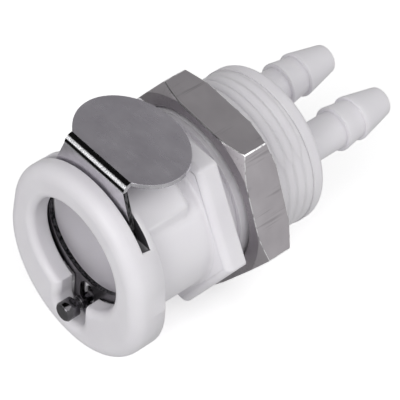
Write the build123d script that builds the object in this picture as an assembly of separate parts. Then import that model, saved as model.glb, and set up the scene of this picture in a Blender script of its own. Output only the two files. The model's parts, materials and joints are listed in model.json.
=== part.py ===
from build123d import *
import math
import os

# Panel-mount twin-tube quick disconnect coupling, in millimetres.
# The coupling axis is Y: the socket opens to -Y, the hose barbs point to +Y and the thumb latch is at +Z.
# The origin is on that axis, in the plane of the shoulder face that seats on the panel.

# ---- stations along the coupling axis
front_face_y = -20.0
slot_front_y = -16.7
front_disc_rear_y = -14.0
saddle_rear_y = -5.6
web_front_y = -4.6
shoulder_front_y = -3.5
valve_floor_y = -2.0
thread_start_y = 2.3
thread_end_y = 17.8
cap_thickness = 2.5
nut_front_y = 3.1

# ---- front disc and socket
disc_radius = 15.0
disc_skirt_radius = 15.4
disc_skirt_drop = 3.6
disc_front_round = 2.3
disc_rear_chamfer = 0.4
socket_radius = 9.65
socket_mouth_round = 1.3

# ---- moulded body between the disc and the shoulder
body_radius = 13.2
pin_boss_radius = 2.7
saddle_rise = 1.5
saddle_half_width = 10.0
saddle_round = 1.3
saddle_foot_round = 1.5

# ---- hexagonal shoulder, panel thread and nut
shoulder_across_flats = 30.0
shoulder_front_round = 1.2
shoulder_corner_round = 0.8
shoulder_foot = 0.5
relief_radius = 12.7
thread_core_radius = 13.5
thread_depth = 0.3
nut_wall_at_flats = 1.975
nut_thickness = 6.4
nut_corner_chamfer = 1.03
nut_face_margin = 0.625
nut_bore_chamfer = 0.6
nut_thread_gap = 0.1
nut_turn = -4.7

# ---- latch plate
latch_thickness = 0.8
latch_side_gap = 0.35
latch_travel = 1.8
latch_hole_radius = 9.7
latch_ring_width = 1.7
latch_neck_half_width = 6.6
latch_tab_half_width = 3.0
latch_tab_bottom = 14.6
latch_tab_round = 1.4
latch_pocket_gap = 0.3
slot_floor_z = 9.0
bend_radius = 1.4
pad_top_z = 18.4
pad_half_length = 7.6
pad_half_width = 10.1
pad_centre_y = -9.1

# ---- latch spring, standing in the saddle under the pad
latch_spring_y = -9.6
latch_spring_radius = 2.2
latch_spring_wire = 0.25
latch_spring_turns = 4
latch_pocket_floor_z = 11.2

# ---- release pin in its keyway
pin_z = -12.0
pin_head_radius = 1.65
pin_head_front_y = -21.3
pin_head_length = 2.3
pin_neck_radius = 0.85
pin_bead_radius = 1.2
pin_bead_front_y = -18.1
pin_bead_length = 0.55
pin_shank_radius = 1.5
pin_shank_front_y = -14.9
pin_shank_length = 3.9
pin_running_gap = 0.06
pin_bore_end_y = -5.2
pin_slot_gap = 0.15
pin_travel = 1.1
keyway_half_width = 3.2
pin_spring_wire = 0.2
pin_spring_radius = 1.1
pin_spring_turns = 7

# ---- shut-off valves and tube passages
valve_x = 6.4
valve_z = 2.4
port_radius = 2.0
valve_bore_radius = 3.8
valve_running_gap = 0.08
valve_seat_gap = 0.3
poppet_head_radius = 3.3
poppet_head_length = 1.6
poppet_boss_radius = 2.0
poppet_nose_radius = 1.1
poppet_nose_reach = 1.0
poppet_fin_length = 4.2
poppet_fin_thickness = 1.1
poppet_ring_wire = 0.5
valve_spring_radius = 2.6
valve_spring_wire = 0.25
valve_spring_turns = 5

# ---- twin-barb manifold
cap_radius = 13.7
cap_rear_round = 1.2
spigot_length = 5.3
spigot_gap = 0.05
groove_front_offset = 1.4
manifold_ring_wire = 0.6
passage_radius = 1.6
stem_radius = 3.2
stem_foot_round = 0.7
ridge_radius = 3.85
waist_radius = 3.35
tip_radius = 2.45
first_ridge_y = 29.2
ridge_pitch = 4.0
ridge_land = 0.35
ridge_cone_length = 3.3
tip_length = 6.6
tip_round = 0.6

# ---- sizes worked out from those above
slot_rear_y = slot_front_y + latch_thickness + 2 * latch_side_gap
latch_front_y = slot_front_y + latch_side_gap
latch_rear_y = latch_front_y + latch_thickness
latch_ring_radius = latch_hole_radius + latch_ring_width
bend_centre_y = latch_front_y + bend_radius
bend_centre_z = pad_top_z - bend_radius
pad_under_z = pad_top_z - latch_thickness
cap_rear_y = thread_end_y + cap_thickness
spigot_front_y = thread_end_y - spigot_length
pin_bore_radius = pin_shank_radius + pin_running_gap
pin_shank_rear_y = pin_shank_front_y + pin_shank_length
poppet_head_y = valve_floor_y + valve_seat_gap + 2 * poppet_ring_wire
poppet_head_rear_y = poppet_head_y + poppet_head_length
poppet_fin_rear_y = poppet_head_rear_y + poppet_fin_length
saddle_radius = body_radius + saddle_rise
nut_bore_radius = thread_core_radius + thread_depth + nut_thread_gap
nut_across_flats = 2 * (nut_bore_radius + nut_wall_at_flats)
nut_chamfer_start = nut_across_flats / 2 + nut_face_margin
spring_seat_gap = 0.02
wire_sides = 8
valve_sides = {"left": -1, "right": 1}


def across_y(sketch, y_front, y_rear):
    """A sketch with x across and y up, made solid between two stations of the coupling axis."""
    rear_plane = Plane((0, y_rear, 0), x_dir=(1, 0, 0), z_dir=(0, -1, 0))
    return extrude(rear_plane * sketch, amount=y_rear - y_front)


def drum(radius, y_front, y_rear):
    return across_y(Circle(radius), y_front, y_rear)


def disc_outline():
    """The round disc drawn out downwards into a wider skirt round the release pin."""
    skirt = Pos(0, -disc_skirt_drop) * Circle(disc_skirt_radius)
    return make_hull(Circle(disc_radius).edges() + skirt.edges())


def turned(points):
    """A solid turned about the Y axis from points of radius and station."""
    return revolve(make_face(Polyline(*points, close=True)), Axis.Y)


def coil_spring(coil_radius, wire_radius, length, turns):
    """A helical spring along +Z with a faceted wire, its wire ends inside the length."""
    rise = length - 2 * wire_radius
    path = Helix(pitch=rise / turns, height=rise, radius=coil_radius)
    section = Plane(path @ 0, z_dir=path % 0) * RegularPolygon(wire_radius, wire_sides)
    return Pos(0, 0, wire_radius) * sweep(section, path, is_frenet=True)


def along_y(solid):
    return Rot(-90, 0, 0) * solid


def latch_pocket_sketch():
    """The space that the latch plate needs over its travel, open at the top."""
    side = latch_ring_radius + latch_pocket_gap
    tab = latch_tab_half_width + latch_pocket_gap
    tab_bottom = -latch_tab_bottom - latch_travel - latch_pocket_gap
    open_width = 2 * (disc_radius + 1)
    open_height = disc_radius
    sides_height = latch_travel + slot_floor_z
    rings = Circle(side)
    sides = Pos(0, sides_height / 2) * Rectangle(2 * side, sides_height)
    tab_pocket = Pos(0, tab_bottom / 2) * Rectangle(2 * tab, -tab_bottom)
    top_opening = Pos(0, slot_floor_z + open_height / 2) * Rectangle(open_width, open_height)
    return rings + sides + tab_pocket + top_opening


def front_disc():
    disc = across_y(disc_outline(), front_face_y, front_disc_rear_y)
    front_edges = disc.edges().group_by(Axis.Y)[0]
    disc = fillet(front_edges, disc_front_round)
    rear_edges = disc.edges().group_by(Axis.Y)[-1]
    return chamfer(rear_edges, disc_rear_chamfer)


def saddle():
    """Raised seat for the latch spring, blended into the body at its sides."""
    side_z = math.sqrt(saddle_radius ** 2 - saddle_half_width ** 2)
    foot_z = math.sqrt(body_radius ** 2 - saddle_half_width ** 2)
    band = Pos(0, saddle_radius / 2) * Rectangle(2 * saddle_half_width, saddle_radius)
    section = Circle(body_radius) + (Circle(saddle_radius) & band)
    feet = section.vertices().filter_by(lambda corner: abs(corner.Y - foot_z) < 0.01)
    section = fillet(feet, saddle_foot_round)
    tops = section.vertices().filter_by(lambda corner: abs(corner.Y - side_z) < 0.01)
    section = fillet(tops, saddle_round)
    block = across_y(section, front_disc_rear_y - 1, saddle_rear_y)
    rear_edges = block.edges().group_by(Axis.Y)[-1]
    raised = rear_edges.filter_by(lambda edge: edge.center().Z > foot_z + saddle_foot_round)
    return fillet(raised, saddle_round)


def saddled_body():
    """The drum between the disc and the shoulder, with the saddle on top and the pin's boss below."""
    boss = Pos(0, pin_z / 2) * Rectangle(2 * pin_boss_radius, -pin_z) + Pos(0, pin_z) * Circle(pin_boss_radius)
    return across_y(Circle(body_radius) + boss, front_disc_rear_y - 1, shoulder_front_y + 1) + saddle()


def shoulder():
    corner_radius = shoulder_across_flats / 2 / math.cos(math.pi / 6)
    hexagon = across_y(RegularPolygon(corner_radius, 6), shoulder_front_y, 0)
    hexagon = fillet(hexagon.edges().filter_by(Axis.Y), shoulder_corner_round)
    return fillet(hexagon.edges().group_by(Axis.Y)[0], shoulder_front_round)


def body_flare():
    """Short cone that runs the round body out into the front face of the shoulder."""
    flare_radius = body_radius + shoulder_foot
    inner = body_radius - 1
    rear_y = shoulder_front_y + shoulder_front_round
    return turned([
        (inner, shoulder_front_y - shoulder_foot),
        (body_radius, shoulder_front_y - shoulder_foot),
        (flare_radius, shoulder_front_y),
        (flare_radius, rear_y),
        (inner, rear_y),
    ])


def body_shell():
    shell = saddled_body() + front_disc() + shoulder() + body_flare()
    shell += drum(relief_radius, -1, thread_start_y)
    shell += drum(thread_core_radius, thread_start_y, thread_end_y)

    shell -= drum(socket_radius, front_face_y - 1, web_front_y)
    keyway = Pos(0, pin_z / 2) * Rectangle(2 * keyway_half_width, -pin_z)
    keyway += Pos(0, pin_z) * Circle(keyway_half_width)
    shell -= across_y(keyway, front_face_y - 1, slot_front_y)
    mouth = shell.edges().group_by(Axis.Y)[0]
    inner = mouth.filter_by(lambda edge: edge.center().Z > pin_z - keyway_half_width - 1
                            and abs(edge.center().X) < socket_radius)
    shell = fillet(inner, socket_mouth_round)
    shell -= across_y(latch_pocket_sketch(), slot_front_y, slot_rear_y)

    pin_bore = Pos(0, pin_z) * Circle(pin_bore_radius)
    shell -= across_y(pin_bore, slot_rear_y - 0.1, pin_bore_end_y)
    pocket_radius = latch_spring_radius + latch_spring_wire + latch_pocket_gap
    spring_pocket = Cylinder(pocket_radius, disc_radius, align=(Align.CENTER, Align.CENTER, Align.MIN))
    shell -= Pos(0, latch_spring_y, latch_pocket_floor_z) * spring_pocket

    for side in valve_sides.values():
        axis = Pos(side * valve_x, valve_z)
        shell -= across_y(axis * Circle(port_radius), web_front_y - 1, valve_floor_y + 1)
        shell -= across_y(axis * Circle(valve_bore_radius), valve_floor_y, thread_end_y + 1)
    return shell


def barb():
    """One hose barb with its spigot, turned about its own axis."""
    spigot = valve_bore_radius - spigot_gap
    groove = spigot - 2 * manifold_ring_wire + spigot_gap
    groove_front = spigot_front_y + groove_front_offset
    groove_rear = groove_front + 2 * manifold_ring_wire + 0.3
    second_ridge_y = first_ridge_y + ridge_pitch
    tip_y = second_ridge_y + tip_length
    outline = [
        (passage_radius, spigot_front_y),
        (spigot, spigot_front_y),
        (spigot, groove_front),
        (groove, groove_front),
        (groove, groove_rear),
        (spigot, groove_rear),
        (spigot, thread_end_y),
        (stem_radius, thread_end_y),
        (stem_radius, first_ridge_y - ridge_land),
        (ridge_radius, first_ridge_y - ridge_land),
        (ridge_radius, first_ridge_y),
        (waist_radius, first_ridge_y + ridge_cone_length),
        (waist_radius, second_ridge_y - ridge_land),
        (ridge_radius, second_ridge_y - ridge_land),
        (ridge_radius, second_ridge_y),
        (tip_radius, tip_y),
        (passage_radius, tip_y),
    ]
    solid = turned(outline)
    tip_edge = solid.edges().filter_by(GeomType.CIRCLE).group_by(Axis.Y)[-1].sort_by(SortBy.RADIUS)[-1]
    return fillet(tip_edge, tip_round)


def barb_manifold():
    cap = drum(cap_radius, thread_end_y, cap_rear_y)
    cap = fillet(cap.edges().group_by(Axis.Y)[-1], cap_rear_round)
    manifold = cap
    for side in valve_sides.values():
        manifold += Pos(side * valve_x, 0, valve_z) * barb()
    feet = manifold.edges().filter_by(GeomType.CIRCLE).filter_by(
        lambda edge: abs(edge.center().Y - cap_rear_y) < 0.01 and edge.radius < stem_radius + 0.01)
    manifold = fillet(feet, stem_foot_round)
    for side in valve_sides.values():
        bore = Pos(side * valve_x, valve_z) * Circle(passage_radius)
        manifold -= across_y(bore, spigot_front_y - 1, cap_rear_y + 1)
    return manifold


def manifold_o_ring(side):
    wire = manifold_ring_wire - spigot_gap / 2
    centre_y = spigot_front_y + groove_front_offset + manifold_ring_wire + 0.15
    ring = Torus(valve_bore_radius - spigot_gap / 2 - wire, wire)
    return Pos(side * valve_x, centre_y, valve_z) * along_y(ring)


def latch_outline():
    """The upright plate seen along the coupling axis: a ring with a flared neck and a lower tab."""
    top_z = bend_centre_z
    reach = math.hypot(latch_neck_half_width, top_z - latch_travel)
    lean = math.atan2(latch_neck_half_width, top_z - latch_travel)
    touch = math.acos(latch_ring_radius / reach) + lean
    touch_x = latch_ring_radius * math.sin(touch)
    touch_z = latch_travel + latch_ring_radius * math.cos(touch)
    neck = make_face(Polyline((-latch_neck_half_width, top_z), (latch_neck_half_width, top_z),
                              (touch_x, touch_z), (-touch_x, touch_z), close=True))
    tab = Pos(0, -latch_tab_bottom / 2) * RectangleRounded(
        2 * latch_tab_half_width, latch_tab_bottom, latch_tab_round)
    ring = Pos(0, latch_travel) * Circle(latch_ring_radius)
    hole = Pos(0, latch_travel) * Circle(latch_hole_radius)
    slot_half = pin_shank_radius + pin_slot_gap
    slot = Pos(0, pin_z + latch_travel / 2) * Rectangle(2 * slot_half, latch_travel)
    slot += Pos(0, pin_z) * Circle(slot_half)
    slot += Pos(0, pin_z + latch_travel) * Circle(slot_half)
    return ring + neck + tab - hole - slot


def thumb_latch():
    upright = across_y(latch_outline(), latch_front_y, latch_rear_y)
    bend = Circle(bend_radius) - Circle(bend_radius - latch_thickness)
    bend = Plane.YZ * (Pos(bend_centre_y, bend_centre_z) * (
        bend & Pos(-bend_radius, bend_radius) * Rectangle(2 * bend_radius, 2 * bend_radius)))
    bend = extrude(bend, amount=latch_neck_half_width, both=True)
    oval = Pos(0, pad_centre_y) * Ellipse(pad_half_width, pad_half_length)
    behind = Pos(0, bend_centre_y + pad_half_length) * Rectangle(3 * pad_half_width, 2 * pad_half_length)
    pad = extrude(Plane.XY.offset(pad_under_z) * (oval & behind), amount=latch_thickness)
    return upright + bend + pad


def latch_spring():
    length = pad_under_z - latch_pocket_floor_z - 2 * spring_seat_gap
    coil = coil_spring(latch_spring_radius, latch_spring_wire, length, latch_spring_turns)
    return Pos(0, latch_spring_y, latch_pocket_floor_z + spring_seat_gap) * coil


def release_pin():
    head_rear = pin_head_front_y + pin_head_length
    bead_rear = pin_bead_front_y + pin_bead_length
    outline = [
        (0, pin_head_front_y),
        (pin_head_radius - 0.25, pin_head_front_y),
        (pin_head_radius, pin_head_front_y + 0.25),
        (pin_head_radius, head_rear),
        (pin_neck_radius, head_rear),
        (pin_neck_radius, pin_bead_front_y),
        (pin_bead_radius, pin_bead_front_y),
        (pin_bead_radius, bead_rear),
        (pin_neck_radius, bead_rear),
        (pin_neck_radius, pin_shank_front_y),
        (pin_shank_radius, pin_shank_front_y),
        (pin_shank_radius, pin_shank_rear_y),
        (0, pin_shank_rear_y),
    ]
    return Pos(0, 0, pin_z) * turned(outline)


def pin_spring():
    length = pin_bore_end_y - pin_shank_rear_y - 2 * spring_seat_gap
    coil = coil_spring(pin_spring_radius, pin_spring_wire, length, pin_spring_turns)
    return Pos(0, pin_shank_rear_y + spring_seat_gap, pin_z) * along_y(coil)


def valve_poppet(side):
    nose_front = web_front_y - poppet_nose_reach
    boss_front = poppet_head_y - poppet_ring_wire
    outline = [
        (0, nose_front),
        (poppet_nose_radius, nose_front),
        (poppet_nose_radius, boss_front),
        (poppet_boss_radius, boss_front),
        (poppet_boss_radius, poppet_head_y),
        (poppet_head_radius, poppet_head_y),
        (poppet_head_radius, poppet_head_rear_y),
        (0, poppet_head_rear_y),
    ]
    fin_reach = valve_bore_radius - valve_running_gap
    cross = Rectangle(2 * fin_reach, poppet_fin_thickness) + Rectangle(poppet_fin_thickness, 2 * fin_reach)
    fins = across_y(cross & Circle(fin_reach), poppet_head_rear_y, poppet_fin_rear_y)
    return Pos(side * valve_x, 0, valve_z) * (turned(outline) + fins)


def poppet_o_ring(side):
    ring = Torus(poppet_boss_radius + poppet_ring_wire, poppet_ring_wire)
    return Pos(side * valve_x, poppet_head_y - poppet_ring_wire, valve_z) * along_y(ring)


def valve_spring(side):
    length = spigot_front_y - poppet_fin_rear_y - 2 * spring_seat_gap
    coil = coil_spring(valve_spring_radius, valve_spring_wire, length, valve_spring_turns)
    return Pos(side * valve_x, poppet_fin_rear_y + spring_seat_gap, valve_z) * along_y(coil)


def panel_nut():
    nut_rear_y = nut_front_y + nut_thickness
    corner_radius = nut_across_flats / 2 / math.cos(math.pi / 6)
    hexagon = across_y(Rot(0, 0, nut_turn) * RegularPolygon(corner_radius, 6), nut_front_y, nut_rear_y)
    turned_blank = turned([
        (nut_bore_radius + nut_bore_chamfer, nut_front_y),
        (nut_chamfer_start, nut_front_y),
        (corner_radius, nut_front_y + nut_corner_chamfer),
        (corner_radius, nut_rear_y - nut_corner_chamfer),
        (nut_chamfer_start, nut_rear_y),
        (nut_bore_radius + nut_bore_chamfer, nut_rear_y),
        (nut_bore_radius, nut_rear_y - nut_bore_chamfer),
        (nut_bore_radius, nut_front_y + nut_bore_chamfer),
    ])
    return hexagon & turned_blank


parts = {
    "body_shell": body_shell(),
    "barb_manifold": barb_manifold(),
    "thumb_latch": thumb_latch(),
    "latch_spring": latch_spring(),
    "release_pin": release_pin(),
    "pin_spring": pin_spring(),
    "panel_nut": panel_nut(),
}
for name, side in valve_sides.items():
    parts[f"valve_poppet_{name}"] = valve_poppet(side)
    parts[f"poppet_o_ring_{name}"] = poppet_o_ring(side)
    parts[f"valve_spring_{name}"] = valve_spring(side)
    parts[f"manifold_o_ring_{name}"] = manifold_o_ring(side)

os.makedirs("parts", exist_ok=True)
for node, shape in parts.items():
    export_step(shape, f"parts/{node}.step")
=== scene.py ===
"""Looks of a panel-mount twin-tube quick disconnect coupling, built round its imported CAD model.

The coupling axis is Y, the thumb latch is at +Z and every length here is in metres.
"""

import json
import math

import bmesh
import bpy
from mathutils import Matrix, Vector


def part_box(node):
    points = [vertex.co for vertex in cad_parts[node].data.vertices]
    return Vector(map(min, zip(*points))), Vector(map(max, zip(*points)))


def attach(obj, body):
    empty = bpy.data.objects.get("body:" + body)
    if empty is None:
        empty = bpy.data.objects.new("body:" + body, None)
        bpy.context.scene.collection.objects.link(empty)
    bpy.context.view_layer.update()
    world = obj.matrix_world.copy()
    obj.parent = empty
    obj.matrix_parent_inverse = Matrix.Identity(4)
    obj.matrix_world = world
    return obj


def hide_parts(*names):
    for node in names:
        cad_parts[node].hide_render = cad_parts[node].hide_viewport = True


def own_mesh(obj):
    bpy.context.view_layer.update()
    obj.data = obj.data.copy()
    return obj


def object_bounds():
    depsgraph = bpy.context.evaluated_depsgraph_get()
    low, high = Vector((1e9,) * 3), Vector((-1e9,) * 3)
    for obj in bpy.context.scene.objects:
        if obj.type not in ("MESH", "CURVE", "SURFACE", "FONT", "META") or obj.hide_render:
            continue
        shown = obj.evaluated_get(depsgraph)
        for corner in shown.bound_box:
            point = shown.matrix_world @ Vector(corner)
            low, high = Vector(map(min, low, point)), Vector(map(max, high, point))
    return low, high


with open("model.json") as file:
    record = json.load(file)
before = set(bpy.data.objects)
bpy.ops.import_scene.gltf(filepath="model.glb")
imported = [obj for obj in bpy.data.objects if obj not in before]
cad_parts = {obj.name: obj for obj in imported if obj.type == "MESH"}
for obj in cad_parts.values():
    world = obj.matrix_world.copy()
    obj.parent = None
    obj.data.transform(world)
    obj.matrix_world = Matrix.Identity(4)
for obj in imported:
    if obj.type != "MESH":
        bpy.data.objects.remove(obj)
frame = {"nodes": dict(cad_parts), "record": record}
cad_low, cad_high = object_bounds()

MM = 0.001

# ---- places read from the frame
nut_low, nut_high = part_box("panel_nut")
shell_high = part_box("body_shell")[1]
latch_low, latch_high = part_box("thumb_latch")

# ---- sizes of the moulded thread and the nut, as on the CAD model
THREAD_START = 2.3 * MM
THREAD_CORE = 13.5 * MM
THREAD_DEPTH = 0.3 * MM
THREAD_PITCH = 1.8 * MM
THREAD_FRONT_MARGIN = 1.15 * MM
THREAD_REAR_MARGIN = 0.9 * MM
NUT_ACROSS_FLATS = 31.75 * MM
NUT_CHAMFER_START = 16.5 * MM
NUT_CHAMFER_DROP = 1.03 * MM
NUT_BORE_GAP = 0.1 * MM
NUT_TURN = math.radians(-4.7)
BEND_RADIUS = 1.4 * MM
LATCH_THICKNESS = 0.8 * MM
LATCH_SIDE_GAP = 0.35 * MM
SLOT_FLOOR = 9.0 * MM
DISC_RADIUS = 15.0 * MM

# ---- light of the room, and the share of it that comes up from the table
WORLD_STRENGTH = 0.58
TABLE_TONE = 0.92

# ---- camera
CAMERA_AZIMUTH = math.radians(43.35)
CAMERA_ELEVATION = math.radians(46.62)
CAMERA_ROLL = math.radians(6.33)
CAMERA_DISTANCE = 300 * MM
CAMERA_LENS = 172.5
SENSOR_WIDTH = 36.0
CAMERA_SHIFT_ACROSS = -0.11 * MM
CAMERA_SHIFT_UP = -3.2 * MM


# ------------------------------------------------------------------ node materials
def new_material(name):
    material = bpy.data.materials.new(name)
    material.use_nodes = True
    return material, material.node_tree.nodes, material.node_tree.links


def principled(nodes):
    return nodes["Principled BSDF"]


def noise(nodes, links, scale, detail=3.0, stretch=None, roughness=0.55):
    """Noise in object space; stretch scales the space on each axis."""
    coords = nodes.new("ShaderNodeTexCoord")
    mapping = nodes.new("ShaderNodeMapping")
    mapping.inputs["Scale"].default_value = stretch or (1.0, 1.0, 1.0)
    texture = nodes.new("ShaderNodeTexNoise")
    texture.inputs["Scale"].default_value = scale
    texture.inputs["Detail"].default_value = detail
    texture.inputs["Roughness"].default_value = roughness
    links.new(coords.outputs["Object"], mapping.inputs["Vector"])
    links.new(mapping.outputs["Vector"], texture.inputs["Vector"])
    return texture.outputs["Fac"]


def ramp(nodes, links, source, low, high, start=0.0, end=1.0):
    """Maps a value between start and end to a value or colour between low and high."""
    node = nodes.new("ShaderNodeValToRGB")
    first, last = node.color_ramp.elements
    first.position, last.position = start, end
    first.color = (*low, 1.0) if isinstance(low, tuple) else (low, low, low, 1.0)
    last.color = (*high, 1.0) if isinstance(high, tuple) else (high, high, high, 1.0)
    links.new(source, node.inputs["Fac"])
    return node.outputs["Color"]


def bump(nodes, links, shader, height, strength, distance, edge_radius=None):
    """Bump on the shader, over edges that are rounded by edge_radius."""
    node = nodes.new("ShaderNodeBump")
    node.inputs["Strength"].default_value = strength
    node.inputs["Distance"].default_value = distance
    links.new(height, node.inputs["Height"])
    if edge_radius:
        edge = nodes.new("ShaderNodeBevel")
        edge.samples = 8
        edge.inputs["Radius"].default_value = edge_radius
        links.new(edge.outputs["Normal"], node.inputs["Normal"])
    links.new(node.outputs["Normal"], shader.inputs["Normal"])


def multiply(nodes, links, first, second):
    """The product of two colours or values."""
    node = nodes.new("ShaderNodeMix")
    node.data_type = "RGBA"
    node.blend_type = "MULTIPLY"
    node.clamp_result = False
    node.inputs[0].default_value = 1.0
    links.new(first, node.inputs[6])
    links.new(second, node.inputs[7])
    return node.outputs[2]


def calculate(nodes, links, operation, first, second):
    """A math node; each input is a socket or a number."""
    node = nodes.new("ShaderNodeMath")
    node.operation = operation
    for entry, value in zip(node.inputs, (first, second)):
        if isinstance(value, (int, float)):
            entry.default_value = value
        else:
            links.new(value, entry)
    return node.outputs[0]


def object_place(nodes, links):
    """The X, Y and Z of the place in object space."""
    coords = nodes.new("ShaderNodeTexCoord")
    parts = nodes.new("ShaderNodeSeparateXYZ")
    links.new(coords.outputs["Object"], parts.inputs[0])
    return parts.outputs


def moulded_white(
    name="moulded_white", base=(0.83, 0.815, 0.845), shade=(0.785, 0.765, 0.80), edge_radius=0.18 * MM
):
    """Moulded acetal: satin, slightly translucent, with soft flow marks and a fine mould grain."""
    material, nodes, links = new_material(name)
    shader = principled(nodes)
    flow = noise(nodes, links, 90, 3, (1.0, 0.4, 1.0))
    links.new(ramp(nodes, links, flow, shade, base, 0.35, 0.65), shader.inputs["Base Color"])
    grain = noise(nodes, links, 4500, 2)
    links.new(ramp(nodes, links, grain, 0.34, 0.46, 0.3, 0.7), shader.inputs["Roughness"])
    shader.inputs["Subsurface Weight"].default_value = 0.35
    shader.inputs["Subsurface Radius"].default_value = (1.0, 1.0, 1.05)
    shader.inputs["Subsurface Scale"].default_value = 1.2 * MM
    shader.inputs["IOR"].default_value = 1.48
    bump(nodes, links, shader, grain, 0.12, 0.02 * MM, edge_radius)
    return material


def brushed_steel(name, base, shade, roughness, stretch, edge_radius=0.12 * MM, strength=0.25):
    """Brushed sheet: fine parallel lines under a mottled tone."""
    material, nodes, links = new_material(name)
    shader = principled(nodes)
    shader.inputs["Metallic"].default_value = 1.0
    mottle = noise(nodes, links, 260, 4)
    links.new(ramp(nodes, links, mottle, shade, base, 0.35, 0.65), shader.inputs["Base Color"])
    lines = noise(nodes, links, 900, 3, stretch, 0.7)
    low, high = roughness
    links.new(ramp(nodes, links, lines, low, high, 0.3, 0.7), shader.inputs["Roughness"])
    bump(nodes, links, shader, lines, strength, 0.01 * MM, edge_radius)
    return material


def painted_shade_slot():
    """The plastic of the latch slot, painted dark at its +X end to match the photo.

    The dark is painted shade, standing for the shadowed plate that fills the end of the real slot. It
    depends on the place in the slot alone, so it is the same from every side, and the -X end stays white.
    """
    material, nodes, links = new_material("slot_white")
    shader = principled(nodes)
    place = object_place(nodes, links)
    height = calculate(nodes, links, "DIVIDE", place["Z"], latch_high.z)
    minus_x_end = calculate(nodes, links, "LESS_THAN", place["X"], 0.0)
    band = nodes.new("ShaderNodeValToRGB")
    stops = band.color_ramp.elements
    # painted shade: near black on the slot's floor and walls at the +X end, white elsewhere
    unshaded_white, dark = (0.82, 0.805, 0.835, 1.0), (0.05, 0.048, 0.054, 1.0)
    floor_level = SLOT_FLOOR / latch_high.z
    dark_up_to, unshaded_from = 0.66, 0.74
    tones = (
        (floor_level - 0.02, unshaded_white), (floor_level - 0.01, dark),
        (dark_up_to, dark), (unshaded_from, unshaded_white),
    )
    while len(stops) < len(tones):
        stops.new(1.0)
    for stop, (position, tone) in zip(stops, tones):
        stop.position = position
        stop.color = tone
    links.new(calculate(nodes, links, "ADD", height, minus_x_end), band.inputs["Fac"])
    links.new(band.outputs["Color"], shader.inputs["Base Color"])
    shader.inputs["Roughness"].default_value = 0.4
    return material


def machined_nut():
    """Bar-turned nut: smooth plated flats with patches of lengthways scratches and a few pits."""
    material, nodes, links = new_material("nut_metal")
    shader = principled(nodes)
    shader.inputs["Metallic"].default_value = 1.0
    scratches = noise(nodes, links, 3400, 2, (1.0, 0.03, 1.0), 0.6)
    patches = noise(nodes, links, 260, 1, (1.0, 0.15, 1.0))
    lines = ramp(nodes, links, scratches, 0.78, 1.0, 0.36, 0.46)
    spread = ramp(nodes, links, patches, 0.0, 1.0, 0.52, 0.60)
    kept = calculate(nodes, links, "MAXIMUM", lines, calculate(nodes, links, "SUBTRACT", 1.0, spread))
    broad = noise(nodes, links, 150, 3)
    plating = ramp(nodes, links, broad, (0.43, 0.405, 0.425), (0.485, 0.46, 0.48), 0.35, 0.65)
    links.new(multiply(nodes, links, plating, kept), shader.inputs["Base Color"])
    links.new(ramp(nodes, links, broad, 0.42, 0.34, 0.3, 0.7), shader.inputs["Roughness"])
    pits = noise(nodes, links, 2600, 2)
    height = calculate(nodes, links, "ADD", kept, ramp(nodes, links, pits, 0.0, 0.5, 0.27, 0.36))
    bump(nodes, links, shader, height, 0.25, 0.01 * MM, 0.1 * MM)
    return material


def painted_highlight_edge():
    """The narrow edges of the nut, bright in patches: a painted highlight."""
    material, nodes, links = new_material("nut_edge")
    shader = principled(nodes)
    shader.inputs["Metallic"].default_value = 1.0
    patches = noise(nodes, links, 900, 4)
    tone = ramp(nodes, links, patches, (0.34, 0.33, 0.34), (1.0, 1.0, 1.0), 0.36, 0.52)
    links.new(tone, shader.inputs["Base Color"])
    shader.inputs["Roughness"].default_value = 0.3
    return material


def folded_steel():
    """The fold of the latch: smooth steel that mirrors the room, with a fine uneven grain."""
    material, nodes, links = new_material("bend_steel")
    shader = principled(nodes)
    shader.inputs["Metallic"].default_value = 1.0
    grain = noise(nodes, links, 5200, 3, None, 0.7)
    tone = ramp(nodes, links, grain, (0.40, 0.40, 0.42), (0.95, 0.95, 0.97), 0.38, 0.56)
    links.new(tone, shader.inputs["Base Color"])
    shader.inputs["Roughness"].default_value = 0.1
    bump(nodes, links, shader, grain, 0.7, 0.014 * MM)
    return material


def upright_steel():
    """The upright sheet, painted darker downwards by height to match the photo.

    The dark stands for what the real sheet mirrors there. It is a tone and no reflection.
    """
    material, nodes, links = new_material("upright_steel")
    shader = principled(nodes)
    shader.inputs["Metallic"].default_value = 1.0
    height = calculate(nodes, links, "DIVIDE", object_place(nodes, links)["Z"], latch_high.z)
    tone = ramp(nodes, links, height, (0.20, 0.19, 0.205), (0.70, 0.68, 0.72), 0.35, 0.62)
    mottle = noise(nodes, links, 700, 4)
    mottled = ramp(nodes, links, mottle, 0.86, 1.0, 0.35, 0.6)
    links.new(multiply(nodes, links, tone, mottled), shader.inputs["Base Color"])
    shader.inputs["Roughness"].default_value = 0.3
    bump(nodes, links, shader, mottle, 0.2, 0.01 * MM, 0.1 * MM)
    return material


def sheared_steel():
    """The sheared sides of the upright, painted near black to match the photo, with a torn grain.

    The dark stands for what the real sides mirror there. It is a tone and no reflection.
    """
    material, nodes, links = new_material("sheared_steel")
    shader = principled(nodes)
    shader.inputs["Metallic"].default_value = 1.0
    tear = noise(nodes, links, 2600, 3, (1.0, 1.0, 0.45))
    tone = ramp(nodes, links, tear, (0.01, 0.01, 0.011), (0.12, 0.118, 0.125), 0.4, 0.62)
    links.new(tone, shader.inputs["Base Color"])
    shader.inputs["Roughness"].default_value = 0.42
    bump(nodes, links, shader, tear, 0.5, 0.03 * MM)
    return material


def rubber():
    """Black seals with a faint uneven bloom."""
    material, nodes, links = new_material("seal_rubber")
    shader = principled(nodes)
    bloom = noise(nodes, links, 1500, 3)
    tone = ramp(nodes, links, bloom, (0.015, 0.015, 0.016), (0.035, 0.035, 0.036))
    links.new(tone, shader.inputs["Base Color"])
    links.new(ramp(nodes, links, bloom, 0.45, 0.6), shader.inputs["Roughness"])
    bump(nodes, links, shader, bloom, 0.1, 0.02 * MM)
    return material


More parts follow.
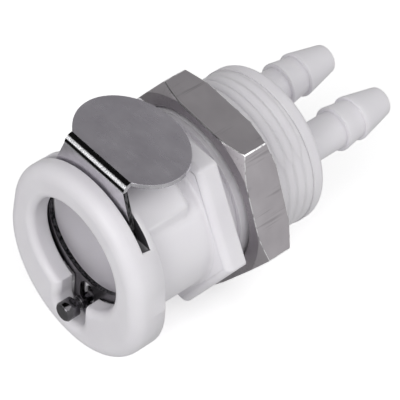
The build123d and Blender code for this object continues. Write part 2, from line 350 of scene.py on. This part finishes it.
def floor_material():
    material, nodes, links = new_material("studio_floor")
    shader = principled(nodes)
    paper = noise(nodes, links, 60, 4)
    links.new(ramp(nodes, links, paper, (0.93, 0.93, 0.93), (0.95, 0.95, 0.95)), shader.inputs["Base Color"])
    shader.inputs["Roughness"].default_value = 0.9
    shader.inputs["Emission Color"].default_value = (1.0, 1.0, 1.0, 1.0)
    shader.inputs["Emission Strength"].default_value = 0.40
    return material


MATERIALS = {
    "moulded_white": moulded_white(),
    "soft_white": moulded_white("soft_white", edge_radius=0.4 * MM),
    # slot_white: white plastic with painted shade at the +X end of the latch slot
    "slot_white": painted_shade_slot(),
    "valve_plastic": moulded_white("valve_plastic", base=(0.74, 0.73, 0.75), shade=(0.70, 0.69, 0.71)),
    "latch_steel": brushed_steel(
        "latch_steel", base=(0.47, 0.45, 0.49), shade=(0.41, 0.39, 0.43),
        roughness=(0.24, 0.36), stretch=(0.3, 1.0, 0.6), edge_radius=0.2 * MM,
    ),
    "bend_steel": folded_steel(),
    "upright_steel": upright_steel(),
    # rim_steel: a brighter copy of the latch steel, painted highlight on the pad's edges and fold sides
    "rim_steel": brushed_steel(
        "rim_steel", base=(0.80, 0.79, 0.82), shade=(0.55, 0.54, 0.57),
        roughness=(0.2, 0.3), stretch=(1.0, 1.0, 0.2),
    ),
    "sheared_steel": sheared_steel(),
    "pin_steel": brushed_steel(
        "pin_steel", base=(0.16, 0.155, 0.165), shade=(0.08, 0.077, 0.084),
        roughness=(0.08, 0.15), stretch=(1.0, 0.2, 1.0), edge_radius=0.28 * MM,
    ),
    "nut_metal": machined_nut(),
    # nut_edge: painted highlight on the nut's narrow edges
    "nut_edge": painted_highlight_edge(),
    "spring_steel": brushed_steel(
        "spring_steel", base=(0.60, 0.60, 0.62), shade=(0.48, 0.48, 0.50),
        roughness=(0.22, 0.34), stretch=(1, 1, 1),
    ),
    "seal_rubber": rubber(),
}


def dress(piece, slot):
    piece.data.materials.clear()
    piece.data.materials.append(MATERIALS[slot])
    return piece


# ------------------------------------------------------------------ mesh helpers
def grid_piece(name, rows, slot, body, around=False, along=False):
    """A mesh of quads over rows of points.

    around closes each row, and along closes the last row to the first.
    """
    vertices = [point for row in rows for point in row]
    width, count = len(rows[0]), len(rows)
    faces = []
    for i in range(count if along else count - 1):
        for j in range(width if around else width - 1):
            k, m = (i + 1) % count, (j + 1) % width
            faces.append((i * width + j, i * width + m, k * width + m, k * width + j))
    mesh = bpy.data.meshes.new(name)
    mesh.from_pydata(vertices, [], faces)
    mesh.validate()
    mesh.update()
    piece = bpy.data.objects.new(name, mesh)
    bpy.context.scene.collection.objects.link(piece)
    mesh.shade_smooth()
    dress(piece, slot)
    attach(piece, body)
    return piece


def smoothstep(low, high, value):
    t = min(max((value - low) / (high - low), 0.0), 1.0)
    return t * t * (3 - 2 * t)


def around_y(radius, angle, y):
    """A point at an angle from +X towards +Z about the coupling axis."""
    return (radius * math.cos(angle), y, radius * math.sin(angle))


# ------------------------------------------------------------------ panel thread
def thread_fade(angle):
    """The share of the thread's depth at an angle: it fades out on its two sides, as in the photo."""
    from_side = math.degrees(math.acos(min(1.0, abs(math.cos(angle)))))
    return smoothstep(34, 62, from_side)


def panel_thread():
    """Rounded helical ridge with faded ends, sunk a little into the thread core."""
    start = THREAD_START + THREAD_FRONT_MARGIN
    end = shell_high.y - THREAD_REAR_MARGIN
    turns = (end - start) / THREAD_PITCH
    steps_a_turn, samples = 120, 12
    steps = int(turns * steps_a_turn)
    base_half = 0.48 * THREAD_PITCH
    sunk = 0.05 * MM
    run_out_share = 0.06
    crest_fullness = 0.55
    rows = []
    for i in range(steps + 1):
        share = i / steps
        angle = 2 * math.pi * turns * share
        y = start + (end - start) * share
        run_out = smoothstep(0, run_out_share, share) * smoothstep(0, run_out_share, 1 - share)
        lift = THREAD_DEPTH * run_out * thread_fade(angle)
        row = []
        for j in range(samples + 1):
            across = 2 * j / samples - 1
            profile = math.cos(across * math.pi / 2) ** crest_fullness
            row.append(around_y(THREAD_CORE - sunk + (lift + sunk) * profile, angle, y + across * base_half))
        rows.append(row)
    return grid_piece("panel_thread_ridge", rows, "moulded_white", "housing")


# ------------------------------------------------------------------ panel nut
def panel_nut():
    """Hexagon cut by a chamfer cone on both faces, with a countersunk bore."""
    bore = THREAD_CORE + THREAD_DEPTH + NUT_BORE_GAP
    sink = 0.6 * MM
    flat = NUT_ACROSS_FLATS / 2
    corner = flat / math.cos(math.pi / 6)
    slope = NUT_CHAMFER_DROP / (corner - NUT_CHAMFER_START)
    front, rear = nut_low.y, nut_high.y
    soft = 0.12 * MM
    per_flat = 49
    to_corner = math.radians(29.6)
    rows = []
    for i in range(6 * per_flat):
        from_flat = to_corner * (2 * (i % per_flat) / (per_flat - 1) - 1)
        side = flat / math.cos(from_flat)
        angle = NUT_TURN + math.pi / 6 + (i // per_flat) * math.pi / 3 + from_flat
        rim = min(NUT_CHAMFER_START, side - soft)
        cut = max(0.0, side - NUT_CHAMFER_START) * slope
        edge = (rim + side) / 2
        edge_cut = max(0.0, edge - NUT_CHAMFER_START) * slope
        profile = [
            (bore, front + sink), (bore + sink / 2, front + sink / 2), (bore + sink, front),
            ((bore + sink + rim) / 2, front), (rim, front), (edge, front + edge_cut),
            (side - soft / 2, front + cut), (side, front + cut + soft),
            (side, front * 0.75 + rear * 0.25), (side, (front + rear) / 2),
            (side, front * 0.25 + rear * 0.75),
            (side, rear - cut - soft), (side - soft / 2, rear - cut),
            (edge, rear - edge_cut), (rim, rear), ((bore + sink + rim) / 2, rear),
            (bore + sink, rear), (bore + sink / 2, rear - sink / 2), (bore, rear - sink),
            (bore, (front + rear) / 2),
        ]
        rows.append([around_y(r, angle, y) for r, y in profile])
    nut = grid_piece("hex_panel_nut", rows, "nut_metal", "nut", around=True, along=True)
    nut.data.set_sharp_from_angle(angle=math.radians(24))
    nut.data.materials.append(MATERIALS["nut_edge"])
    stations = len(rows[0])
    # the edge and corner strips take nut_edge, a painted highlight
    front_edge, rear_edge = 6, 11
    for face in nut.data.polygons:
        row, station = divmod(face.index, stations)
        at_corner = row % per_flat == per_flat - 1 and front_edge < station < rear_edge
        face.material_index = int(station in (front_edge, rear_edge) or at_corner)
    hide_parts("panel_nut")
    return nut


# ------------------------------------------------------------------ springs
def spring(node, name, axis, turns, wire, body, towards):
    """A coil of round wire with closed ends, in its CAD node's box."""
    low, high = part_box(node)
    centre = (low + high) / 2
    across = [k for k in range(3) if k != axis]
    radius = (high[across[0]] - low[across[0]]) / 2 - wire
    length = high[axis] - low[axis]
    samples, steps_a_turn = 10, 40
    steps = int(turns * steps_a_turn)
    rows = []
    for i in range(steps + 1):
        share = i / steps
        angle = 2 * math.pi * turns * share
        closed = 1.0 / turns
        climb = smoothstep(closed * 0.35, 1 - closed * 0.35, share) * 0.35 + share * 0.65
        along = low[axis] + wire + (length - 2 * wire) * climb
        row = []
        for j in range(samples):
            round_wire = 2 * math.pi * j / samples
            reach = radius + wire * math.cos(round_wire)
            point = [0.0, 0.0, 0.0]
            point[axis] = along + wire * math.sin(round_wire)
            point[across[0]] = centre[across[0]] + reach * math.cos(angle)
            point[across[1]] = centre[across[1]] + reach * math.sin(angle)
            row.append(tuple(point))
        rows.append(row)
    piece = grid_piece(name, rows, "spring_steel", body, around=True)
    for end_row in (0, steps):
        first = end_row * samples
        loop = [first + j for j in range(samples)]
        add_face(piece.data, loop if end_row else loop[::-1])
    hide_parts(node)
    anchor = list(centre)
    anchor[axis] = low[axis] if towards < 0 else high[axis]
    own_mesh(piece)
    return piece


def add_face(mesh, loop):
    """Closes the end of a wire with one face."""
    work = bmesh.new()
    work.from_mesh(mesh)
    work.verts.ensure_lookup_table()
    work.faces.new([work.verts[i] for i in loop])
    work.to_mesh(mesh)
    work.free()


# ------------------------------------------------------------------ carried-over CAD nodes
def finish_cad_nodes():
    """Gives each CAD node its materials and welds its doubled points."""
    slots = {s["node"]: s["material_slot"] for s in frame["record"]["subparts"]}
    weld_distance = 0.002 * MM
    for node, piece in frame["nodes"].items():
        dress(piece, slots[node])
        weld = piece.modifiers.new("weld", "WELD")
        weld.merge_threshold = weld_distance
    frame["nodes"]["barb_manifold"].data.materials[0] = MATERIALS["soft_white"]
    dress_latch(frame["nodes"]["thumb_latch"])
    dress_latch_slot(frame["nodes"]["body_shell"])


def dress_latch(latch):
    """Tells the pad, its rim, the fold, the upright and the sheared sides of the upright apart."""
    kinds = ("latch_steel", "rim_steel", "bend_steel", "upright_steel", "sheared_steel")
    for kind in kinds[1:]:
        latch.data.materials.append(MATERIALS[kind])
    for face in latch.data.polygons:
        above_fold = face.center.z > latch_high.z - BEND_RADIUS
        on_pad = face.center.y >= latch_low.y + BEND_RADIUS
        # rim_steel on the pad's edges and the fold's sides is a painted highlight
        if on_pad:
            kind = "latch_steel" if abs(face.normal.z) > 0.5 else "rim_steel"
        elif above_fold:
            kind = "rim_steel" if abs(face.normal.x) > 0.5 else "bend_steel"
        else:
            kind = "upright_steel" if abs(face.normal.y) > 0.5 else "sheared_steel"
        face.material_index = kinds.index(kind)


def dress_latch_slot(shell):
    """Gives the walls and floor of the slot that the latch slides in a material of their own."""
    # slot_white paints shade on the slot's floor and walls at its +X end
    shell.data.materials.append(MATERIALS["slot_white"])
    slot_margin, rim_margin = 0.02 * MM, 0.1 * MM
    slot_front = latch_low.y - LATCH_SIDE_GAP - slot_margin
    slot_rear = latch_low.y + LATCH_THICKNESS + LATCH_SIDE_GAP + slot_margin
    for face in shell.data.polygons:
        inside = slot_front < face.center.y < slot_rear
        on_disc = math.hypot(face.center.x, face.center.z) > DISC_RADIUS - rim_margin
        face.material_index = int(inside and not on_disc)


finish_cad_nodes()
panel_thread()
panel_nut()
spring(
    "latch_spring", "latch_coil", axis=2, turns=4, wire=0.25 * MM,
    body="housing", towards=-1,
)
spring(
    "pin_spring", "pin_coil", axis=1, turns=7, wire=0.2 * MM,
    body="housing", towards=1,
)
for side in ("left", "right"):
    spring(
        f"valve_spring_{side}", f"{side}_valve_coil", axis=1, turns=5, wire=0.25 * MM,
        body="housing", towards=1,
    )


# ------------------------------------------------------------------ studio
def studio_floor():
    """A white floor under the coupling; bounced and mirrored light doesn't see it."""
    half, z = 3.0, cad_low.z
    mesh = bpy.data.meshes.new("floor")
    corners = [(-half, -half, z), (half, -half, z), (half, half, z), (-half, half, z)]
    mesh.from_pydata(corners, [], [(0, 1, 2, 3)])
    floor = bpy.data.objects.new("floor", mesh)
    bpy.context.scene.collection.objects.link(floor)
    mesh.materials.append(floor_material())
    floor.visible_diffuse = floor.visible_glossy = False


def aim(thing, place, target):
    thing.location = place
    thing.rotation_euler = (target - place).to_track_quat("-Z", "Y").to_euler()


def softbox(name, azimuth, elevation, distance, size, power):
    """A square area light at a bearing from the coupling; azimuth 0 is in front of the socket."""
    a, e = math.radians(azimuth), math.radians(elevation)
    light = bpy.data.lights.new(name, "AREA")
    light.energy, light.size = power, size
    lamp = bpy.data.objects.new(name, light)
    bpy.context.scene.collection.objects.link(lamp)
    direction = Vector((math.sin(a) * math.cos(e), -math.cos(a) * math.cos(e), math.sin(e)))
    centre = (cad_low + cad_high) / 2
    aim(lamp, centre + direction * distance, centre)


def studio_world():
    """A pale room over a dimmer table, with the dark and bright patches that the polished fold mirrors."""
    world = bpy.data.worlds.new("studio")
    world.use_nodes = True
    nodes, links = world.node_tree.nodes, world.node_tree.links
    background = nodes["Background"]
    coords = nodes.new("ShaderNodeTexCoord")

    def towards(direction):
        node = nodes.new("ShaderNodeVectorMath")
        node.operation = "DOT_PRODUCT"
        node.inputs[1].default_value = Vector(direction).normalized()
        links.new(coords.outputs["Generated"], node.inputs[0])
        return node.outputs["Value"]

    height = calculate(nodes, links, "ADD", towards((0, 0, 1)), 0.5)
    tone = ramp(nodes, links, height, TABLE_TONE, 1.0, 0.2, 0.7)
    # each patch: its direction, the cosines at its edge and at its core, and the light inside it
    patches = (
        ((-0.47, -0.05, 0.88), 0.870, 0.890, 0.01),
        ((-0.45, -0.80, 0.38), 0.945, 0.970, 1.8),
        ((-0.47, -0.84, -0.22), 0.925, 0.950, 0.01),
        ((-0.47, -0.50, -0.73), 0.750, 0.950, 0.55),
        ((0.0, -1.0, 0.0), 0.930, 0.985, 0.35),
        ((0.86, 0.50, -0.10), 0.850, 0.970, 1.5),
    )
    for direction, edge, core, inside in patches:
        patch = ramp(nodes, links, towards(direction), 1.0, inside, edge, core)
        tone = multiply(nodes, links, tone, patch)
    links.new(tone, background.inputs["Color"])
    background.inputs["Strength"].default_value = WORLD_STRENGTH
    bpy.context.scene.world = world


def studio_lights():
    softbox("key_light", azimuth=45, elevation=58, distance=0.60, size=0.40, power=0.55)
    softbox("fill_light", azimuth=14, elevation=26, distance=0.70, size=0.40, power=1.85)
    softbox("side_light", azimuth=125, elevation=42, distance=0.70, size=0.40, power=0.5)
    studio_world()
    bpy.context.scene.view_settings.view_transform = "Standard"
    bpy.context.scene.view_settings.look = "None"


def camera():
    a, e = CAMERA_AZIMUTH, CAMERA_ELEVATION
    back = Vector((math.sin(a) * math.cos(e), -math.cos(a) * math.cos(e), math.sin(e)))
    level = Vector((math.cos(a), math.sin(a), 0.0))
    right = Matrix.Rotation(CAMERA_ROLL, 3, back) @ level
    up = back.cross(right)
    nut_middle = Vector((0.0, (nut_low.y + nut_high.y) / 2, 0.0))
    place = nut_middle + back * CAMERA_DISTANCE + right * CAMERA_SHIFT_ACROSS + up * CAMERA_SHIFT_UP
    data = bpy.data.cameras.new("camera")
    data.lens, data.sensor_width = CAMERA_LENS, SENSOR_WIDTH
    data.clip_start, data.clip_end = 0.01, 20.0
    data.dof.use_dof = False
    item = bpy.data.objects.new("camera", data)
    bpy.context.scene.collection.objects.link(item)
    turn = Matrix((right, up, back)).transposed().to_4x4()
    item.matrix_world = Matrix.Translation(place) @ turn
    bpy.context.scene.camera = item


studio_floor()
studio_lights()
camera()
